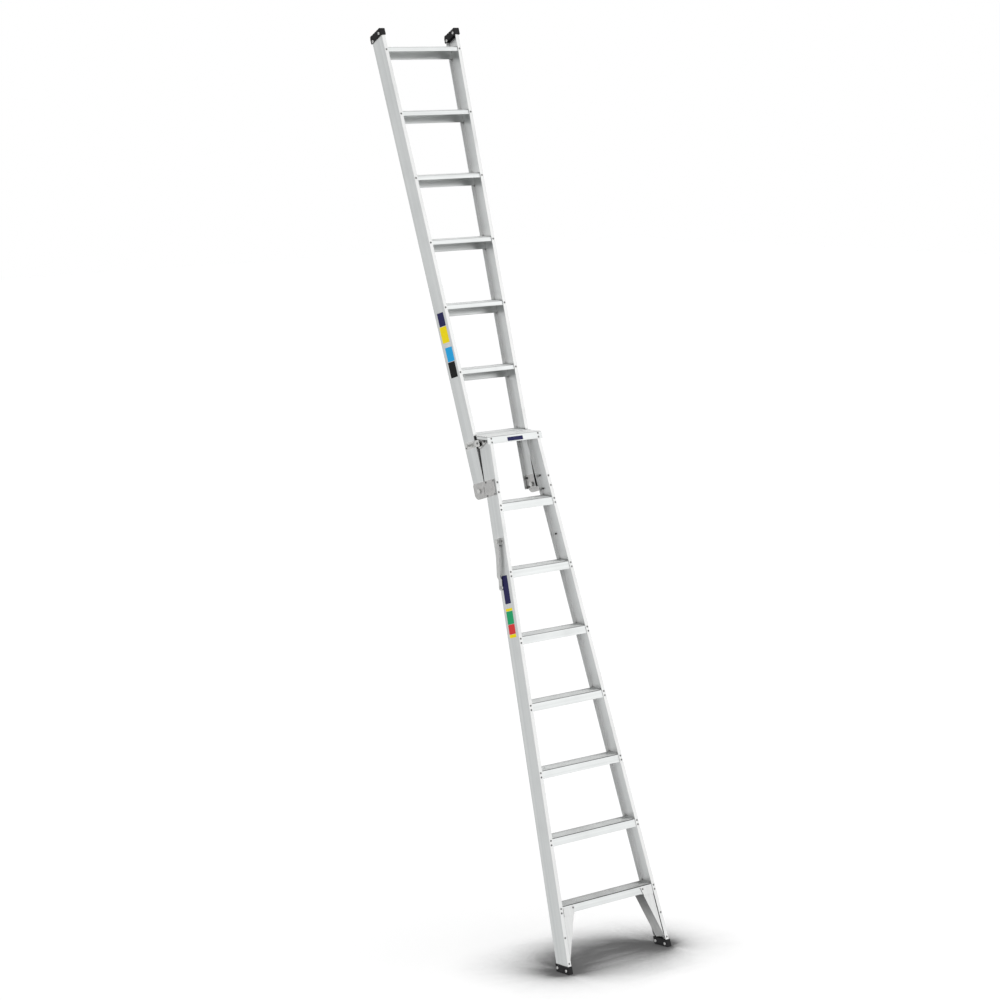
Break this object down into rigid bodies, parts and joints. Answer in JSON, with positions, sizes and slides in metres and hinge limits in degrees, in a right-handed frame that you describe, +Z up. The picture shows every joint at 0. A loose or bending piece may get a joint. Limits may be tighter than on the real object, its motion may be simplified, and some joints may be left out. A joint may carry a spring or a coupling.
{
  "type": "combination ladder",
  "caption": "Aluminium combination ladder: tapered stepladder whose hinged rear section swings up to make a leaning extension ladder, with flat treads, platform, locks and stays.",
  "frame": {"origin": "on the floor, midway between the front feet's toes and the wall that the ladder leans on, on the middle line between the two sides", "axes": "+Z up, the climber's side faces -Y and the ladder leans back toward +Y, +X is the right-hand side seen from the front"},
  "size_m": [0.64, 1.338, 4.1252],
  "materials": {
    "rail": "satin mill finish extrusion",
    "tread": "satin ribbed extrusion",
    "platform": "satin ribbed extrusion",
    "brace": "satin pressed sheet",
    "foot": "matt moulded",
    "plate": "zinc plated pressing",
    "zinc": "bright zinc",
    "knob": "blackened rivet"
  },
  "bodies": {
    "front_section": {"front_rail_left": "rail", "front_rail_right": "rail", "front_step_1": "tread", "front_step_2": "tread", "front_step_3": "tread", "front_step_4": "tread", "front_step_5": "tread", "front_step_6": "tread", "front_step_7": "tread", "platform": "platform", "platform_buffer_left": "foot", "platform_buffer_right": "foot", "knee_brace_left": "brace", "knee_brace_right": "brace", "front_foot_left": "foot", "front_foot_right": "foot", "hinge_plate_left": "plate", "hinge_plate_right": "plate", "stay_bracket_left": "plate", "stay_bracket_right": "plate", "pivot_bolts": "zinc", "pivot_nuts": "zinc", "stay_pivots": "zinc", "catch_pins": "knob"},
    "rear_section": {"rear_rail_left": "rail", "rear_rail_right": "rail", "rear_tread_1": "tread", "rear_tread_2": "tread", "rear_tread_3": "tread", "rear_tread_4": "tread", "rear_tread_5": "tread", "rear_tread_6": "tread", "rear_tread_7": "tread", "rear_foot_left": "foot", "rear_foot_right": "foot", "lock_band_left": "zinc", "lock_band_right": "zinc", "pivot_doubler_left": "plate", "pivot_doubler_right": "plate", "lock_studs": "zinc", "hook_studs": "zinc"},
    "stay_left": {"stay_left": "plate"},
    "stay_right": {"stay_right": "plate"},
    "lock_catch_left": {"lock_catch_left": "zinc"},
    "lock_catch_right": {"lock_catch_right": "zinc"}
  },
  "joints": [
    {"name": "fold", "type": "hinge", "parent": "front_section", "child": "rear_section", "pos_m": [0, 0.04843, 2.05767], "axis": [-1, 0, 0], "range_deg": [0, 180]},
    {"name": "stay_left_swing", "type": "hinge", "parent": "front_section", "child": "stay_left", "pos_m": [-0.18379, -0.10081, 1.84559], "axis": [0.9977, -0.0188, -0.0657], "range_deg": [-8, 105]},
    {"name": "stay_right_swing", "type": "hinge", "parent": "front_section", "child": "stay_right", "pos_m": [0.18379, -0.10081, 1.84559], "axis": [0.9977, 0.0188, 0.0657], "range_deg": [-8, 105]},
    {"name": "catch_left_swing", "type": "hinge", "parent": "front_section", "child": "lock_catch_left", "pos_m": [-0.15696, 0.01816, 2.28585], "axis": [1, 0, 0], "range_deg": [0, 14]},
    {"name": "catch_right_swing", "type": "hinge", "parent": "front_section", "child": "lock_catch_right", "pos_m": [0.15696, 0.01816, 2.28585], "axis": [1, 0, 0], "range_deg": [0, 14]}
  ]
}
